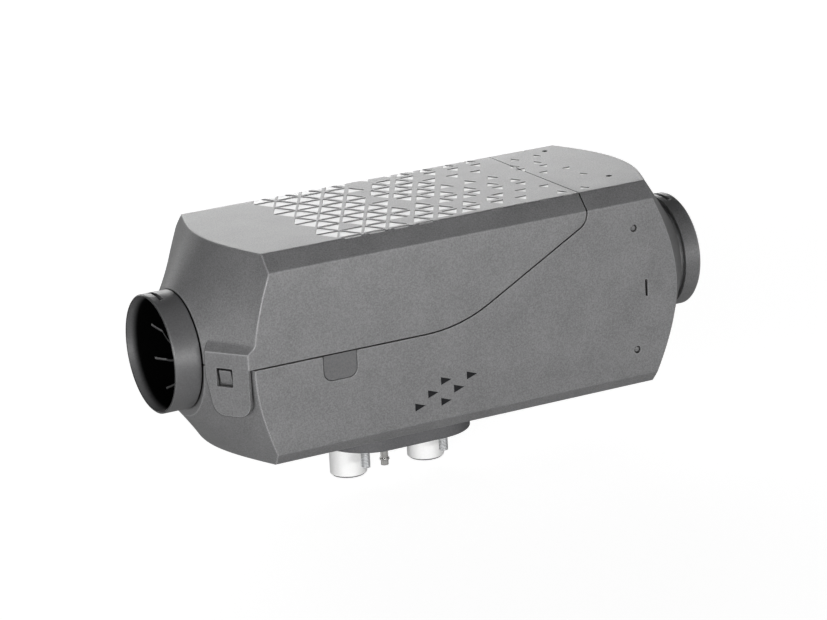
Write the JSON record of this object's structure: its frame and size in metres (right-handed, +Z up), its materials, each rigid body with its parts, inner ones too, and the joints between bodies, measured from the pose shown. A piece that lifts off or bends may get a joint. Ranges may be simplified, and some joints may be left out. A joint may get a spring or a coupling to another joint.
{
  "type": "diesel air heater",
  "caption": "Flat pointed plastic casing with a duct ring at each end; inside, a fan and burner warm the air round a finned heat exchanger.",
  "frame": {"origin": "middle of the mounting face under the foot, between the four studs", "axes": "+X along the warmed air from the inlet ring to the outlet ring, +Z up, -Y the front"},
  "size_m": [0.3795, 0.134, 0.1734],
  "materials": {
    "casing": "fine grained moulded grey plastic",
    "duct_ring": "fine grained dark plastic",
    "seal": "matte",
    "cast": "die cast, satin",
    "gasket": "compressed fibre sheet",
    "burner": "stainless",
    "mat": "sintered fleece",
    "steel": "zinc plated",
    "motor": "satin",
    "magnet": "sintered",
    "copper": "turned",
    "fan": "moulded",
    "impeller": "glass filled",
    "unit": "moulded",
    "board": "circuit board"
  },
  "bodies": {
    "chassis": {"lower_shell": "casing", "outlet_hood": "casing", "inlet_ring": "duct_ring", "port_plug": "casing", "cable_grommet": "seal", "foot_seal": "seal", "mounting_studs": "steel", "blower_housing": "cast", "blower_cover": "cast", "blower_gasket": "gasket", "exchanger_gasket": "gasket", "burner_chamber": "burner", "flame_tube": "burner", "evaporator_mat": "mat", "glow_pin": "steel", "fuel_pipe": "burner", "heat_exchanger": "cast", "overheat_sensor": "unit", "sensor_clip": "burner", "motor_can": "motor", "motor_magnets": "magnet", "brush_ring": "fan", "motor_brushes": "magnet", "front_bearing": "steel", "rear_bearing": "steel", "control_box": "unit", "control_board": "board", "control_lid": "unit", "lid_screws": "steel", "control_sockets": "fan", "joining_screws": "steel"},
    "cover": {"upper_cover": "casing"},
    "blower": {"motor_shaft": "steel", "armature": "steel", "commutator": "copper", "fan_wheel": "fan", "fan_nut": "steel", "combustion_impeller": "impeller"}
  },
  "joints": [
    {"name": "blower_spin", "type": "hinge", "parent": "chassis", "child": "blower", "pos_m": [-0.119, 0, 0.0795], "axis": [1, 0, 0], "continuous": true},
    {"name": "cover_tilt", "type": "hinge", "parent": "chassis", "child": "cover", "pos_m": [0.1163, 0, 0.1474], "axis": [0, 1, 0], "range_deg": [0, 35]}
  ]
}
